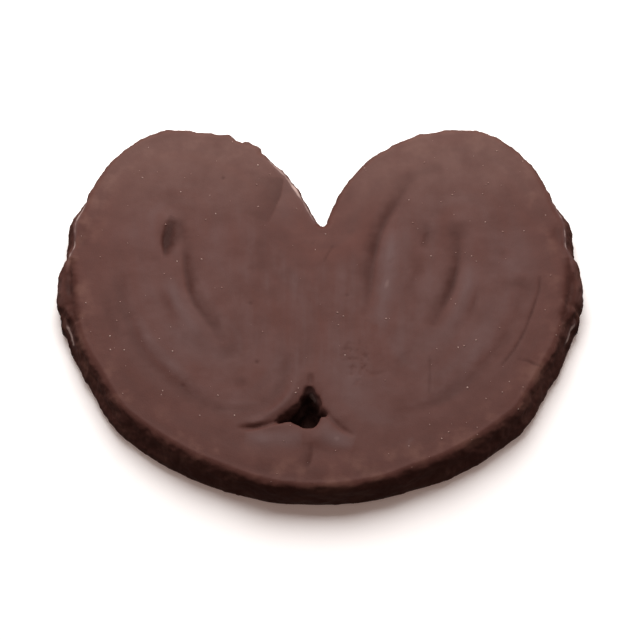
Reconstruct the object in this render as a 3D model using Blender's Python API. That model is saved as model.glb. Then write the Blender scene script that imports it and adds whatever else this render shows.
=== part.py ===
"""A palmier dipped in dark chocolate, lying flat on its base.

Puff pastry rolled in from both sides and sliced makes two lobes that meet at a V notch. Thick
chocolate covers all of it, so the rolls show only as shallow seams, a dimple and a small pit.
The notch faces +Y, the round closed end faces -Y, and the base lies on Z = 0. Sizes are written
in millimetres and turned into metres when the mesh is made.
"""

import math

import bmesh
import bpy
from mathutils import Vector, geometry, kdtree

MM = 0.001
NAME = "palmier"

# The whole pastry.
HALF_WIDTH = 60.0
BACK_Y = 47.2
FRONT_Y = -48.0
THICKNESS = 9.0

# The heart outline, right half: one arc for the base, one for each side of the lobe.
WAIST_Y = 4.7
LOBE_X = 33.5
NOTCH_ARC_X = 0.4
NOTCH_ARC_Y = 12.2
NOTCH_Y = 19.5
# The left lobe laps over the notch's bottom: how far, and over what height it fades.
LAP = 2.6
LAP_REACH = 3.2

# Local swells (+) and flats (-) of the edge: bearing from the front in degrees, reach, height.
SWELLS = (
    (24.0, 6.0, -0.3),
    (56.0, 3.0, 0.3),
    (70.0, 9.0, -1.5),
    (80.0, 5.0, -0.7),
    (96.0, 6.0, 0.4),
    (104.3, 1.6, -1.1),
    (110.0, 2.5, 0.6),
    (119.0, 6.0, -1.3),
    (130.0, 6.0, -0.5),
    (-12.0, 5.0, 0.3),
    (-56.0, 3.0, 0.3),
    (-70.0, 9.0, -1.4),
    (-80.0, 5.0, -0.6),
    (-95.0, 6.0, 0.5),
    (-104.3, 1.6, -1.1),
    (-110.0, 2.5, 0.9),
    (-119.0, 6.0, -1.0),
    (-130.0, 6.0, -0.4),
    (-148.5, 1.4, -0.5),
    (-154.3, 1.1, 0.9),
    (-159.6, 1.0, 1.1),
)

# How far the top edge lies inside the outline, by bearing: upright in front, sloping at the sides.
FLARE = (
    (0.0, 0.7),
    (16.0, 1.9),
    (45.0, 2.8),
    (68.0, 3.8),
    (84.0, 4.0),
    (92.0, 1.3),
    (99.0, 1.3),
    (104.0, 2.0),
    (111.0, 0.5),
    (180.0, 0.3),
)

# The edge's section from the top inwards to the base: flare share, inset, height share.
EDGE_SECTION = (
    (1.0, 1.9, 0.950),
    (1.0, 0.9, 0.885),
    (0.92, 0.35, 0.780),
    (0.55, 0.1, 0.560),
    (0.0, 0.0, 0.300),
    (0.0, 0.25, 0.110),
    (0.0, 0.9, 0.0),
)
RIM_DROP = 0.45
RIM_REACH = 2.6

# The pit where the rolls and the fold meet: a three-pointed hollow, blind at the coated base.
PIT_X = -2.8
PIT_Y = -29.2
PIT_RADIUS = 3.7
PIT_POINTS = (
    (80.0, 24.0, 4.2),
    (201.0, 15.0, 3.7),
    (348.0, 15.0, 2.1),
)
# Pit rings from the floor up: scale of the mouth, height, slide towards the front.
PIT_SECTION = (
    (0.55, 2.2, 1.3),
    (0.78, 3.6, 1.1),
    (0.86, 6.2, 0.6),
    (0.93, 8.0, 0.2),
)
LIP_RISE = 0.35
LIP_REACH = 2.2

# Seams of the rolls on the top: four Bezier points, then depth and half width.
SEAMS = (
    (((-33.8, 19.0), (-32.9, 7.0), (-28.4, -3.9), (-21.5, -11.4)), 0.55, 1.7),
    (((-46.0, 8.0), (-43.6, -13.0), (-32.5, -27.9), (-13.0, -29.1)), 0.45, 2.4),
    (((47.0, 8.0), (44.0, -14.0), (34.0, -28.9), (16.0, -29.5)), 0.40, 2.4),
    (((24.0, 36.6), (13.9, 26.0), (9.5, 11.0), (9.8, -5.0)), 0.95, 1.7),
    (((32.0, 20.0), (33.5, 7.0), (29.0, -4.4), (23.0, -11.4)), 0.65, 2.0),
    (((23.4, 35.2), (32.0, 38.0), (43.0, 36.6), (45.0, 25.0)), 0.25, 1.6),
    (((-8.6, -31.3), (-11.0, -32.6), (-13.5, -33.7), (-16.2, -34.0)), 1.0, 0.9),
    (((2.4, -30.2), (3.8, -31.2), (5.2, -32.0), (7.0, -32.6)), 0.8, 0.8),
    (((-1.7, -37.4), (-1.4, -38.9), (-1.8, -40.4), (-1.9, -42.4)), 0.35, 0.8),
    (((56.4, 10.5), (56.9, 5.0), (56.4, -1.0), (55.0, -6.0)), 0.9, 1.0),
    (((-56.5, 10.5), (-57.0, 5.0), (-56.5, -1.0), (-55.1, -6.0)), 0.9, 1.0),
)
SEAM_STEPS = 80

# Broad hollows (-) and swellings (+) of the top: centre, half sizes, height.
SWALES = (
    ((-34.0, 18.2), (2.6, 5.2), -1.7),
    ((32.4, 15.6), (3.2, 5.0), -0.45),
    ((0.0, 7.1), (10.0, 16.0), -0.5),
    ((-40.0, 29.1), (13.0, 12.0), 0.25),
    ((38.0, 29.1), (13.0, 12.0), 0.25),
    ((-3.4, -35.6), (11.0, 2.0), 0.35),
)

# The loft's steps, and the share of its triangles that stays.
SPOKES = 264
TOP_STEPS = 44
TRIANGLES_KEPT = 9400

CHOCOLATE = (0.105, 0.036, 0.026, 1.0)
CHOCOLATE_ROUGHNESS = 0.42


def arc(centre, radii, start, end, steps):
    """Points along an ellipse's arc, from one angle in degrees to another."""
    points = []
    for step in range(steps + 1):
        angle = math.radians(start + (end - start) * step / steps)
        offset = Vector((radii[0] * math.cos(angle), radii[1] * math.sin(angle)))
        points.append(Vector(centre) + offset)
    return points


def notch_lap(point):
    """How far the left lobe reaches to the right at this height of the notch."""
    if point.y < NOTCH_Y or point.x > LOBE_X:
        return 0.0
    return LAP * math.exp(-(point.y - NOTCH_Y) / LAP_REACH)


def smooth_outline(count):
    """The heart without its swells: evenly spaced points, anticlockwise from the front."""
    base = arc((0.0, WAIST_Y), (HALF_WIDTH, WAIST_Y - FRONT_Y), -90.0, 0.0, 200)
    outer = arc((LOBE_X, WAIST_Y), (HALF_WIDTH - LOBE_X, BACK_Y - WAIST_Y), 0.0, 90.0, 200)
    inner_rise = BACK_Y - NOTCH_ARC_Y
    inner_end = 180.0 - math.degrees(math.asin((NOTCH_Y - NOTCH_ARC_Y) / inner_rise))
    inner = arc((LOBE_X, NOTCH_ARC_Y), (LOBE_X - NOTCH_ARC_X, inner_rise), 90.0, inner_end, 200)
    right = base + outer[1:] + inner[1:]
    left = [Vector((notch_lap(point) - point.x, point.y)) for point in reversed(right[1:-1])]
    loop = right + left
    loop.append(loop[0])
    return evenly_spaced(loop, count)


def evenly_spaced(loop, count):
    """Points at equal distances round a closed loop whose last point repeats its first."""
    lengths = [(b - a).length for a, b in zip(loop, loop[1:])]
    step = sum(lengths) / count
    points = []
    walked = 0.0
    for start, end, length in zip(loop, loop[1:], lengths):
        while len(points) * step < walked + length and len(points) < count:
            points.append(start.lerp(end, (len(points) * step - walked) / length))
        walked += length
    return points


def bearing(point):
    """Degrees round from the front, positive towards +X, seen from above the middle."""
    return math.degrees(math.atan2(point.x, -point.y))


def bump(value, centre, reach):
    """1 at the centre, fading to 0 over the reach, for a value on a circle of degrees."""
    away = (value - centre + 180.0) % 360.0 - 180.0
    return math.exp(-((away / reach) ** 2))


def swell(point):
    """How far the finished edge stands out from the smooth outline."""
    here = bearing(point)
    return sum(height * bump(here, centre, reach) for centre, reach, height in SWELLS)


def flare(point):
    """How far the top edge lies inside the outline here."""
    here = abs(bearing(point))
    for (start, low), (end, high) in zip(FLARE, FLARE[1:]):
        if here <= end:
            share = (here - start) / (end - start)
            return low + (high - low) * share * share * (3.0 - 2.0 * share)
    return FLARE[-1][1]


def outward_normals(loop):
    """The unit normal of a closed anticlockwise loop at each of its points."""
    normals = []
    for index, after in enumerate(loop[1:] + loop[:1]):
        along = after - loop[index - 1]
        normals.append(Vector((along.y, -along.x)).normalized())
    return normals


def pit_mouth(spoke_end):
    """The pit's edge along the line from its middle towards a point of the outline."""
    away = spoke_end - Vector((PIT_X, PIT_Y))
    angle = math.degrees(math.atan2(away.y, away.x))
    radius = PIT_RADIUS
    for centre, reach, height in PIT_POINTS:
        radius += height * bump(angle, centre, reach)
    return away.normalized() * radius


def seam_lines():
    """Each seam as a search tree of its points, their end fades, its depth and half width."""
    lines = []
    for knots, depth, half_width in SEAMS:
        path = geometry.interpolate_bezier(*(Vector(knot) for knot in knots), SEAM_STEPS)
        tree = kdtree.KDTree(len(path))
        fades = []
        for index, point in enumerate(path):
            tree.insert(point.to_3d(), index)
            fades.append(math.sin(math.pi * index / (len(path) - 1)) ** 0.5)
        tree.balance()
        lines.append((tree, fades, depth, half_width))
    return lines


def relief(point, lines):
    """The height of seams, hollows and swellings above the plain top."""
    height = 0.0
    for tree, fades, depth, half_width in lines:
        _, index, away = tree.find(point.to_3d())
        height -= depth * fades[index] * math.exp(-((away / half_width) ** 2))
    for centre, sizes, rise in SWALES:
        across = (point.x - centre[0]) / sizes[0]
        along = (point.y - centre[1]) / sizes[1]
        height += rise * math.exp(-(across * across + along * along))
    return height


def top_height(point, lines, edge_tree, mouth_gap):
    """The top's height: the plain slab, its rounded rim, its relief and the pit's raised lip."""
    _, _, away = edge_tree.find(point.to_3d())
    rim = RIM_DROP * math.exp(-away / RIM_REACH)
    lip = LIP_RISE * math.exp(-((mouth_gap - LIP_REACH) / LIP_REACH) ** 2)
    return THICKNESS - rim + relief(point, lines) + lip


def loft_rings():
    """Rings of points from the pit's floor, over the top and the edge, to the base."""
    outline = smooth_outline(SPOKES)
    normals = outward_normals(outline)
    swells = [swell(point) for point in outline]
    flares = [flare(point) for point in outline]
    middle = Vector((PIT_X, PIT_Y))
    mouths = [pit_mouth(point) for point in outline]
    rings = []
    for scale, height, slide in PIT_SECTION:
        lowered = middle - Vector((0.0, slide))
        rings.append([(lowered + mouth * scale).to_3d() + Vector((0, 0, height)) for mouth in mouths])

    edge_rings = []
    for flare_share, inset, height_share in EDGE_SECTION:
        ring = []
        for index, point in enumerate(outline):
            out = swells[index] - inset - flares[index] * flare_share
            place = point + normals[index] * out
            ring.append(place.to_3d() + Vector((0.0, 0.0, height_share * THICKNESS)))
        edge_rings.append(ring)

    edge_tree = kdtree.KDTree(SPOKES)
    for index, point in enumerate(edge_rings[0]):
        edge_tree.insert(point.to_2d().to_3d(), index)
    edge_tree.balance()
    lines = seam_lines()
    for step in range(TOP_STEPS):
        share = step / TOP_STEPS
        ring = []
        for mouth, rim in zip(mouths, edge_rings[0]):
            start = middle + mouth
            place = start.lerp(rim.to_2d(), share)
            height = top_height(place, lines, edge_tree, (place - start).length)
            ring.append(place.to_3d() + Vector((0.0, 0.0, height)))
        rings.append(ring)
    return centred(rings + edge_rings)


def centred(rings):
    """The same rings with the middle of their box over the origin."""
    points = [point for ring in rings for point in ring]
    middle_x = (min(point.x for point in points) + max(point.x for point in points)) / 2.0
    middle_y = (min(point.y for point in points) + max(point.y for point in points)) / 2.0
    shift = Vector((middle_x, middle_y, 0.0))
    return [[point - shift for point in ring] for ring in rings]


def loft(rings):
    """A closed mesh through the rings, capped at both ends."""
    shape = bmesh.new()
    rows = [[shape.verts.new(point * MM) for point in ring] for ring in rings]
    for inner, outer in zip(rows, rows[1:]):
        for index in range(len(inner)):
            before = index - 1
            shape.faces.new((inner[before], outer[before], outer[index], inner[index]))
    shape.faces.new(rows[0])
    shape.faces.new(tuple(reversed(rows[-1])))
    bmesh.ops.triangulate(shape, faces=[face for face in shape.faces if len(face.verts) > 4])
    bmesh.ops.recalc_face_normals(shape, faces=shape.faces[:])
    mesh = bpy.data.meshes.new(NAME)
    shape.to_mesh(mesh)
    shape.free()
    return mesh


def chocolate():
    """Dark chocolate with a dull shine."""
    material = bpy.data.materials.new("chocolate")
    material.use_nodes = True
    shader = material.node_tree.nodes["Principled BSDF"]
    shader.inputs["Base Color"].default_value = CHOCOLATE
    shader.inputs["Roughness"].default_value = CHOCOLATE_ROUGHNESS
    shader.inputs["Metallic"].default_value = 0.0
    material.diffuse_color = CHOCOLATE
    return material


def palmier(collection):
    """The whole pastry as one solid, thinned to the triangles that its shape needs."""
    mesh = loft(loft_rings())
    mesh.materials.append(chocolate())
    mesh.shade_smooth()
    pastry = bpy.data.objects.new(NAME, mesh)
    collection.objects.link(pastry)
    mesh.calc_loop_triangles()
    thin = pastry.modifiers.new("Thin", "DECIMATE")
    thin.ratio = TRIANGLES_KEPT / len(mesh.loop_triangles)
    return pastry


def main():
    for leftover in list(bpy.data.objects):
        bpy.data.objects.remove(leftover)
    collection = bpy.data.collections.new(NAME)
    bpy.context.scene.collection.children.link(collection)
    palmier(collection)


main()
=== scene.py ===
"""A palmier dipped in dark chocolate, dressed for a soft studio view.

The pastry's blank is lofted from a heart outline, with short rolls pressed on at its back. One skin is
drawn over all of it, the seams of the rolls are carved along their paths, and an uneven coat of
chocolate covers the whole. Sizes are in millimetres and turned into metres when a mesh is made.
"""

import logging
import math
from dataclasses import dataclass, field, replace
from enum import Enum

import bpy
import numpy as np
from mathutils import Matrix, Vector


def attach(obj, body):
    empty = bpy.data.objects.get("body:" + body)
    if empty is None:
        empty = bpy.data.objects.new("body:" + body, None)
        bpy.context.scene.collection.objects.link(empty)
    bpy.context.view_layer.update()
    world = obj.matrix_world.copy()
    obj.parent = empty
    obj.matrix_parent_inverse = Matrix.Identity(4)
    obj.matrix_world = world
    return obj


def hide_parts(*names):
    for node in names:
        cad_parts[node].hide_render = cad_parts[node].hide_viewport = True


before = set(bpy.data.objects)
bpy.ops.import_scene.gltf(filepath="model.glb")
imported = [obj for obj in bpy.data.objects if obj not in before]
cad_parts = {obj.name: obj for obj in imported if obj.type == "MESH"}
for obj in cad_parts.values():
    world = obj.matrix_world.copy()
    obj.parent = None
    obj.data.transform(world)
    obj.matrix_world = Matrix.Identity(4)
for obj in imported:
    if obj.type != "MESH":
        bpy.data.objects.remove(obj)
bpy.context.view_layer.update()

LOG = logging.getLogger("palmier")
MM = 0.001
# The pastry's thickness, at which most guides lie.
TOP = 9.0
# The heights between which nothing moves and all of it does, so that the base stays flat.
BASE_GUARD = (0.25, 1.3)
ARC_POINTS = 400

Point2 = tuple[float, float]
Point3 = tuple[float, float, float]
Colour = tuple[float, float, float, float]
Faces = list[tuple[int, ...]]


class Hand(Enum):
    """The side of the pastry that a detail lies on, as the sign of its X."""

    RIGHT = 1.0
    LEFT = -1.0


class Input(Enum):
    """What a tree's named input takes."""

    NUMBER = "NodeSocketFloat"
    COUNT = "NodeSocketInt"
    OBJECT = "NodeSocketObject"
    MATERIAL = "NodeSocketMaterial"


class Light(Enum):
    """The kinds of lamp in the studio."""

    SUN = "SUN"
    PANEL = "AREA"


# ---------------------------------------------------------------------------
# Node trees
# ---------------------------------------------------------------------------


class Sock:
    """An output socket that can stand in Python sums."""

    def __init__(self, board: "Board", socket: bpy.types.NodeSocket) -> None:
        """Keep the socket and the board that it is wired on."""
        self.board = board
        self.socket = socket

    def out(self, name: str | int) -> "Sock":
        """Another output of the same node."""
        return Sock(self.board, self.socket.node.outputs[name])

    def _math(self, operation: str, first: "Sock | float", second: "Sock | float" = 0.0) -> "Sock":
        """A Math node on two values."""
        return self.board.add("ShaderNodeMath", {"operation": operation}, {0: first, 1: second})

    def __add__(self, other: "Sock | float") -> "Sock":
        """This plus the other."""
        return self._math("ADD", self, other)

    __radd__ = __add__

    def __sub__(self, other: "Sock | float") -> "Sock":
        """This less the other."""
        return self._math("SUBTRACT", self, other)

    def __rsub__(self, other: "Sock | float") -> "Sock":
        """The other less this."""
        return self._math("SUBTRACT", other, self)

    def __mul__(self, other: "Sock | float") -> "Sock":
        """This times the other."""
        return self._math("MULTIPLY", self, other)

    __rmul__ = __mul__

    def __truediv__(self, other: "Sock | float") -> "Sock":
        """This over the other."""
        return self._math("DIVIDE", self, other)

    def __neg__(self) -> "Sock":
        """This with its sign turned."""
        return self._math("MULTIPLY", self, -1.0)

    def __pow__(self, power: float) -> "Sock":
        """This raised to a power."""
        return self._math("POWER", self, power)

    def exp(self) -> "Sock":
        """The natural exponential of this."""
        return self._math("EXPONENT", self)

    def abs(self) -> "Sock":
        """The size of this."""
        return self._math("ABSOLUTE", self)

    def top(self, other: "Sock | float") -> "Sock":
        """The larger of the two."""
        return self._math("MAXIMUM", self, other)

    def low(self, other: "Sock | float") -> "Sock":
        """The smaller of the two."""
        return self._math("MINIMUM", self, other)


class Board:
    """A node tree that nodes are added to in one call each."""

    def __init__(self, tree: bpy.types.NodeTree) -> None:
        """Work on this tree."""
        self.tree = tree

    def add(self, kind: str, settings: dict | None = None, values: dict | None = None,
            output: str | int = 0) -> Sock | None:
        """Add a node, set it up and wire it.

        Args:
            kind: The node's type, such as ShaderNodeMath.
            settings: Attributes set before the sockets, such as a Math node's operation.
            values: Numbers, colours or sockets for its inputs, by name or number.
            output: The output to hand back.

        Returns:
            The chosen output, or None from a node that has no outputs.
        """
        node = self.tree.nodes.new(kind)
        for name, value in (settings or {}).items():
            setattr(node, name, value)
        for name, value in (values or {}).items():
            if isinstance(value, Sock):
                self.tree.links.new(value.socket, node.inputs[name])
            else:
                node.inputs[name].default_value = value
        return Sock(self, node.outputs[output]) if node.outputs else None

    def vector(self, operation: str, *values: "Sock | Point3", scale: "Sock | float | None" = None,
               output: str | int = 0) -> Sock:
        """A Vector Math node.

        Args:
            operation: What it does.
            values: The vectors that it works on.
            scale: Its factor, if it takes one.
            output: The output to hand back.

        Returns:
            The result.
        """
        wired = dict(enumerate(values))
        if scale is not None:
            wired["Scale"] = scale
        return self.add("ShaderNodeVectorMath", {"operation": operation}, wired, output)

    def combine(self, x: "Sock | float", y: "Sock | float", z: "Sock | float") -> Sock:
        """A vector of three values."""
        return self.add("ShaderNodeCombineXYZ", None, {0: x, 1: y, 2: z})

    def xyz(self, vector: Sock) -> tuple[Sock, Sock, Sock]:
        """A vector's three parts."""
        first = self.add("ShaderNodeSeparateXYZ", None, {0: vector})
        return first, first.out(1), first.out(2)

    def ramp(self, value: Sock, start: "Sock | float", end: "Sock | float") -> Sock:
        """0 up to the start, smoothly rising to 1 at the end."""
        return self.add("ShaderNodeMapRange", {"interpolation_type": "SMOOTHSTEP"},
                        {"Value": value, "From Min": start, "From Max": end})

    def noise(self, place: Sock, scale: float, detail: float = 2.0, rough: float = 0.5) -> Sock:
        """Smooth noise about 0, mostly between -1 and 1, of this many waves per unit."""
        wave = self.add("ShaderNodeTexNoise", None,
                        {"Vector": place, "Scale": scale, "Detail": detail, "Roughness": rough})
        return (wave - 0.5) * 4.0

    def blend(self, share: "Sock | float", first: "Sock | Colour", second: "Sock | Colour") -> Sock:
        """A colour between two."""
        return self.add("ShaderNodeMix", {"data_type": "RGBA", "blend_type": "MIX", "clamp_factor": True},
                        {0: share, 6: first, 7: second}, 2)

    def position(self) -> Sock:
        """Each point's own coordinates, in metres."""
        return self.add("ShaderNodeTexCoord", None, None, "Object")

    def place(self) -> Sock:
        """Each point's own coordinates, in millimetres."""
        return self.vector("SCALE", self.position(), scale=1.0 / MM)


class Paint(Board):
    """The node tree of a new material."""

    def __init__(self, name: str) -> None:
        """Start a material with no nodes.

        Args:
            name: The material's name.
        """
        self.material = bpy.data.materials.new(name)
        self.material.use_nodes = True
        self.material.node_tree.nodes.clear()
        super().__init__(self.material.node_tree)

    def close(self, shader: Sock) -> bpy.types.Material:
        """End the tree with this shader, and hand back the material."""
        self.add("ShaderNodeOutputMaterial", None, {"Surface": shader})
        return self.material


class Shaper(Board):
    """A Geometry Nodes tree with named inputs that works on one mesh."""

    def __init__(self, name: str, sizes: dict[str, tuple[Input, object]]) -> None:
        """Start a tree.

        Args:
            name: The tree's name.
            sizes: Each named input's kind and its default.
        """
        super().__init__(bpy.data.node_groups.new(name, "GeometryNodeTree"))
        self.tree.is_modifier = True
        face = self.tree.interface
        face.new_socket("Geometry", in_out="INPUT", socket_type="NodeSocketGeometry")
        for label, (kind, default) in sizes.items():
            socket = face.new_socket(label, in_out="INPUT", socket_type=kind.value)
            if default is not None:
                socket.default_value = default
        face.new_socket("Geometry", in_out="OUTPUT", socket_type="NodeSocketGeometry")
        self.source = self.add("NodeGroupInput")

    def size(self, label: str) -> Sock:
        """A named input."""
        return self.source.out(label)

    def close(self, shape: Sock) -> None:
        """End the tree: real geometry, dressed in the material.

        Args:
            shape: The tree's last geometry.
        """
        real = self.add("GeometryNodeRealizeInstances", None, {0: shape})
        dressed = self.add("GeometryNodeSetMaterial", None,
                           {"Geometry": real, "Material": self.size("Material")})
        self.add("NodeGroupOutput", None, {0: dressed})

    def attach(self, piece: bpy.types.Object, values: dict[str, object]) -> None:
        """Put the tree on a piece as a modifier.

        Args:
            piece: What it works on.
            values: What its named inputs are set to.
        """
        modifier = piece.modifiers.new(self.tree.name, "NODES")
        modifier.node_group = self.tree
        for socket in self.tree.interface.items_tree:
            if socket.in_out == "INPUT" and socket.name in values:
                modifier[socket.identifier] = values[socket.name]

    def position(self) -> Sock:
        """Each point's position, in metres."""
        return self.add("GeometryNodeInputPosition")

    def normal(self) -> Sock:
        """Each point's normal."""
        return self.add("GeometryNodeInputNormal")

    def guide(self, label: str) -> Sock:
        """The geometry of the object in a named input."""
        return self.add("GeometryNodeObjectInfo", {"transform_space": "RELATIVE"},
                        {"Object": self.size(label)}, "Geometry")

    def nearest(self, guide: Sock, output: str) -> Sock:
        """The nearest place on a guide's edges, or the distance to it."""
        return self.add("GeometryNodeProximity", {"target_element": "EDGES"}, {0: guide}, output)

    def lift(self, shape: Sock, height: Sock, floor: Sock) -> Sock:
        """Move points along their normals, and keep the base flat.

        Args:
            shape: The geometry.
            height: How far, in millimetres.
            floor: Each point's height above the base.

        Returns:
            The moved geometry.
        """
        guard = self.ramp(floor, *BASE_GUARD)
        offset = self.vector("SCALE", self.normal(), scale=height * guard * MM)
        return self.add("GeometryNodeSetPosition", None, {"Geometry": shape, "Offset": offset})

    def named(self, label: str, kind: str = "FLOAT") -> Sock:
        """A stored attribute by its name."""
        return self.add("GeometryNodeInputNamedAttribute", {"data_type": kind}, {"Name": label})

    def store(self, shape: Sock, label: str, value: Sock) -> Sock:
        """Keep a value on each point under a name."""
        return self.add("GeometryNodeStoreNamedAttribute", {"data_type": "FLOAT", "domain": "POINT"},
                        {"Geometry": shape, "Name": label, "Value": value})


def shown(data: bpy.types.ID, name: str) -> bpy.types.Object:
    """Put a mesh, a lamp or a camera in the scene.

    Args:
        data: What the object holds.
        name: The object's name.

    Returns:
        The object.
    """
    piece = bpy.data.objects.new(name, data)
    bpy.context.scene.collection.objects.link(piece)
    return piece


def settled(piece: bpy.types.Object, name: str) -> bpy.types.Object:
    """Make a piece's modifiers real.

    Args:
        piece: The piece, which is removed.
        name: What the new one is called.

    Returns:
        A new object with the finished mesh and no modifiers.
    """
    bpy.context.view_layer.update()
    graph = bpy.context.evaluated_depsgraph_get()
    mesh = bpy.data.meshes.new_from_object(piece.evaluated_get(graph))
    mesh.name = name
    bpy.data.objects.remove(piece)
    return shown(mesh, name)


def wire(name: str, points: list[Point3], edges: list[tuple[int, int]]) -> bpy.types.Object:
    """A guide of loose edges, which isn't rendered.

    Args:
        name: The guide's name.
        points: Its points in millimetres.
        edges: Which of them are joined.

    Returns:
        The guide's object.
    """
    mesh = bpy.data.meshes.new(name)
    mesh.from_pydata([(x * MM, y * MM, z * MM) for x, y, z in points], edges, [])
    guide = shown(mesh, name)
    guide.hide_render = True
    return guide


# ---------------------------------------------------------------------------
# The blank: heart outline, edge, pit and pressed-on rolls
# ---------------------------------------------------------------------------


@dataclass(frozen=True)
class Swell:
    """A local bulge of a round form: where it sits in degrees, how wide it is, how far it stands."""

    bearing: float
    reach: float
    height: float

    def at(self, bearings: np.ndarray) -> np.ndarray:
        """The bulge at each bearing."""
        away = (bearings - self.bearing + 180.0) % 360.0 - 180.0
        return self.height * np.exp(-((away / self.reach) ** 2))


def swells(*rows: tuple[float, float, float]) -> tuple[Swell, ...]:
    """Bulges from their three numbers each."""
    return tuple(Swell(*row) for row in rows)


@dataclass(frozen=True)
class Heart:
    """The outline seen from above, from arcs, with the small swells of a hand-made edge."""

    half_width: float = 60.0
    back_y: float = 47.2
    front_y: float = -48.0
    waist_y: float = 4.7
    lobe_x: float = 33.5
    notch_arc: Point2 = (0.4, 12.2)
    notch_y: float = 18.9
    lap: float = 1.9
    lap_reach: float = 3.2
    # The tip of the notch is rounded round this X, within this reach.
    tip_x: float = 0.8
    tip_reach: float = 2.5
    tip_pull: float = 0.5
    tip_passes: int = 4
    edge: tuple[Swell, ...] = swells(
        (24.0, 6.0, -0.3), (56.0, 3.0, 0.3), (70.0, 9.0, -1.5), (80.0, 5.0, -0.7),
        (119.0, 6.0, -1.3), (130.0, 6.0, -0.5),
        (-12.0, 5.0, 0.3), (-56.0, 3.0, 0.3), (-70.0, 9.0, -1.4), (-80.0, 5.0, -0.6),
        (-119.0, 6.0, -1.0), (-130.0, 6.0, -0.4),
        (-148.5, 1.4, -0.5), (-154.3, 1.1, 0.9), (-159.6, 1.0, 1.1),
    )

    def smooth(self, count: int) -> np.ndarray:
        """The heart without its swells.

        Args:
            count: How many points it has.

        Returns:
            Evenly spaced points, anticlockwise from the front.
        """
        inner_rise = self.back_y - self.notch_arc[1]
        end = 180.0 - math.degrees(math.asin((self.notch_y - self.notch_arc[1]) / inner_rise))
        right = np.vstack((
            self._arc((0.0, self.waist_y), (self.half_width, self.waist_y - self.front_y), -90.0, 0.0),
            self._arc((self.lobe_x, self.waist_y),
                      (self.half_width - self.lobe_x, self.back_y - self.waist_y), 0.0, 90.0),
            self._arc((self.lobe_x, self.notch_arc[1]),
                      (self.lobe_x - self.notch_arc[0], inner_rise), 90.0, end),
        ))
        left = right[::-1].copy()
        in_notch = (left[:, 1] >= self.notch_y) & (left[:, 0] <= self.lobe_x)
        lap = np.where(in_notch, self.lap * np.exp(-(left[:, 1] - self.notch_y) / self.lap_reach), 0.0)
        left[:, 0] = lap - left[:, 0]
        loop = np.vstack((right, left))
        steps = np.hypot(*np.diff(loop, axis=0).T)
        walked = np.concatenate(([0.0], np.cumsum(steps)))
        even = np.linspace(0.0, walked[-1], count, endpoint=False)
        line = np.column_stack([np.interp(even, walked, loop[:, axis]) for axis in (0, 1)])
        away = np.hypot(line[:, 0] - self.tip_x, line[:, 1] - self.notch_y)
        near = np.exp(-((away / self.tip_reach) ** 2))[:, None] * self.tip_pull
        for _ in range(self.tip_passes):
            line += near * ((np.roll(line, 1, axis=0) + np.roll(line, -1, axis=0)) / 2.0 - line)
        return line

    @staticmethod
    def _arc(centre: Point2, radii: Point2, start: float, end: float) -> np.ndarray:
        """Points along an ellipse's arc between two angles in degrees."""
        angles = np.radians(np.linspace(start, end, ARC_POINTS))
        return np.column_stack((centre[0] + radii[0] * np.cos(angles),
                                centre[1] + radii[1] * np.sin(angles)))

    @staticmethod
    def normals(loop: np.ndarray) -> np.ndarray:
        """The outward unit normals of a loop.

        Args:
            loop: Its points, anticlockwise.

        Returns:
            One normal for each point.
        """
        along = np.roll(loop, -1, axis=0) - np.roll(loop, 1, axis=0)
        outward = np.column_stack((along[:, 1], -along[:, 0]))
        return outward / np.linalg.norm(outward, axis=1, keepdims=True)

    @staticmethod
    def bearings(loop: np.ndarray) -> np.ndarray:
        """Degrees round from the front, positive towards +X."""
        return np.degrees(np.arctan2(loop[:, 0], -loop[:, 1]))


@dataclass(frozen=True)
class Pit:
    """The three-pointed hollow where the rolls and the fold meet, blind at the coated base."""

    centre: Point2 = (-2.8, -28.6)
    # The mouth's edge, anticlockwise from the front: angle about the centre, distance.
    edge: tuple[Point2, ...] = (
        (-115.0, 4.5), (-74.0, 4.6), (-53.0, 3.8), (-28.0, 3.5), (-12.0, 5.2), (-2.0, 4.1), (14.0, 3.2),
        (40.0, 3.7), (62.0, 4.6), (82.0, 6.1), (93.0, 5.6), (107.0, 4.1), (125.0, 3.0), (150.0, 2.9),
        (166.0, 3.3), (182.0, 4.3), (193.0, 5.9), (199.0, 7.6), (203.0, 8.2), (206.0, 7.2), (210.0, 5.6),
        (216.0, 4.6), (228.0, 4.4),
    )
    # Rings from the floor up: scale of the mouth, height, slide towards the front.
    section: tuple[Point3, ...] = (
        (0.02, 1.3, 0.9), (0.42, 1.3, 1.4), (0.66, 2.6, 1.3), (0.82, 5.2, 0.8), (0.91, 7.2, 0.4),
        (0.97, 8.4, 0.1),
    )

    def mouth(self, towards: np.ndarray) -> np.ndarray:
        """The pit's edge, measured from its centre.

        Args:
            towards: Points round the outline.

        Returns:
            The edge's point on the way to each of them.
        """
        away = towards - np.array(self.centre)
        angles = np.degrees(np.arctan2(away[:, 1], away[:, 0]))
        places, radii = np.array(self.edge).T
        distances = np.interp(angles, places, radii, period=360.0)
        return away / np.linalg.norm(away, axis=1, keepdims=True) * distances[:, None]

    def rings(self, mouth: np.ndarray) -> list[np.ndarray]:
        """The pit's wall.

        Args:
            mouth: Its edge, measured from its centre.

        Returns:
            Rings of points from the floor up.
        """
        rings = []
        for scale, height, slide in self.section:
            flat = np.array(self.centre) - (0.0, slide) + mouth * scale
            rings.append(np.column_stack((flat, np.full(len(flat), height))))
        return rings


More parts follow.
